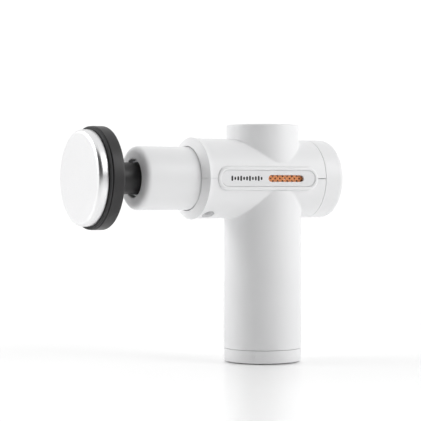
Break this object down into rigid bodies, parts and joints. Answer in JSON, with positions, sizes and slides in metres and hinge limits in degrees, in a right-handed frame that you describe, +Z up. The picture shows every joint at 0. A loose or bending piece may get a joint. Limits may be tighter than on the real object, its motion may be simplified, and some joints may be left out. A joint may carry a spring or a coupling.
{
  "type": "massage gun",
  "caption": "Cordless massage gun: round handle, barrel with motor boss, and a driven plunger holding a pull-off flat head.",
  "frame": {"origin": "centre of the handle's flat base", "axes": "-X along the barrel towards the massage head, +Z up along the handle, +Y across the barrel"},
  "size_m": [0.1628, 0.0582, 0.14],
  "materials": {
    "white_plastic": "fine satin moulding",
    "side_plate": "satin moulding",
    "rim_plastic": "fine matte",
    "grey_plastic": "fine matte",
    "panel_gloss": "glossy",
    "rubber": "matte",
    "steel": "machined",
    "polished_alloy": "polished and fine brushed",
    "cast_alloy": "cast, bead blasted",
    "copper": "copper coloured, satin",
    "bronze": "sintered",
    "magnet": "nickel coated",
    "board": "solder mask",
    "cell": "shrink wrapped"
  },
  "bodies": {
    "casing": {"lower_shell": "white_plastic", "upper_shell": "white_plastic", "rear_cap": "white_plastic", "base_cap": "white_plastic", "base_pad": "rubber", "nose_sleeve": "white_plastic", "nose_bush": "bronze", "control_panel": "panel_gloss", "control_board": "board", "button_switch": "rim_plastic", "motor_mount": "cast_alloy", "motor_stator": "steel", "motor_windings": "copper", "motor_bearing_lower": "steel", "motor_bearing_upper": "steel", "cell_holder_lower": "rim_plastic", "cell_holder_upper": "rim_plastic", "battery_board": "board", "charge_socket": "rim_plastic", "charge_bezel": "grey_plastic", "battery_lead": "rubber", "motor_lead": "rubber", "charge_lead": "rubber", "side_trim_left": "white_plastic", "side_plate_left": "side_plate", "vent_mesh_left": "copper", "screw_plug_left": "grey_plastic", "case_screw_front_left": "steel", "case_screw_rear_left": "steel", "base_screw_left": "steel", "side_trim_right": "white_plastic", "side_plate_right": "side_plate", "vent_mesh_right": "copper", "screw_plug_right": "grey_plastic", "case_screw_front_right": "steel", "case_screw_rear_right": "steel", "base_screw_right": "steel", "motor_mount_screw_1": "steel", "motor_mount_screw_2": "steel", "motor_mount_screw_3": "steel", "motor_mount_screw_4": "steel", "battery_cell_1": "cell", "battery_cell_2": "cell", "battery_cell_3": "cell"},
    "crank": {"rotor_bell": "steel", "rotor_magnets": "magnet", "motor_shaft": "steel", "crank_disc": "cast_alloy", "crank_pin": "steel", "crank_bearing": "steel"},
    "plunger": {"plunger_tube": "cast_alloy", "plunger_bolt": "steel", "yoke": "cast_alloy"},
    "massage_head": {"head_stem": "rim_plastic", "head_seal": "rubber", "head_body": "rim_plastic", "head_ring": "rubber", "head_plate": "polished_alloy", "head_screw": "steel"},
    "button": {"power_button": "grey_plastic"}
  },
  "joints": [
    {"name": "motor_spin", "type": "hinge", "parent": "casing", "child": "crank", "pos_m": [0, 0, 0.1082], "axis": [0, 0, 1], "range_deg": [-90, 90]},
    {"name": "plunger_slide", "type": "slide", "parent": "casing", "child": "plunger", "axis": [-1, 0, 0], "range_m": [-0.005, 0.005]},
    {"name": "head_pull", "type": "slide", "parent": "plunger", "child": "massage_head", "axis": [-1, 0, 0], "range_m": [0, 0.03]},
    {"name": "button_press", "type": "slide", "parent": "casing", "child": "button", "axis": [-1, 0, 0], "range_m": [0, 0.0008], "stiffness_N_per_m": 2500}
  ],
  "couplings": [
    {"joint": "motor_spin", "follows": "plunger_slide", "rad_per_m": 314.15}
  ]
}
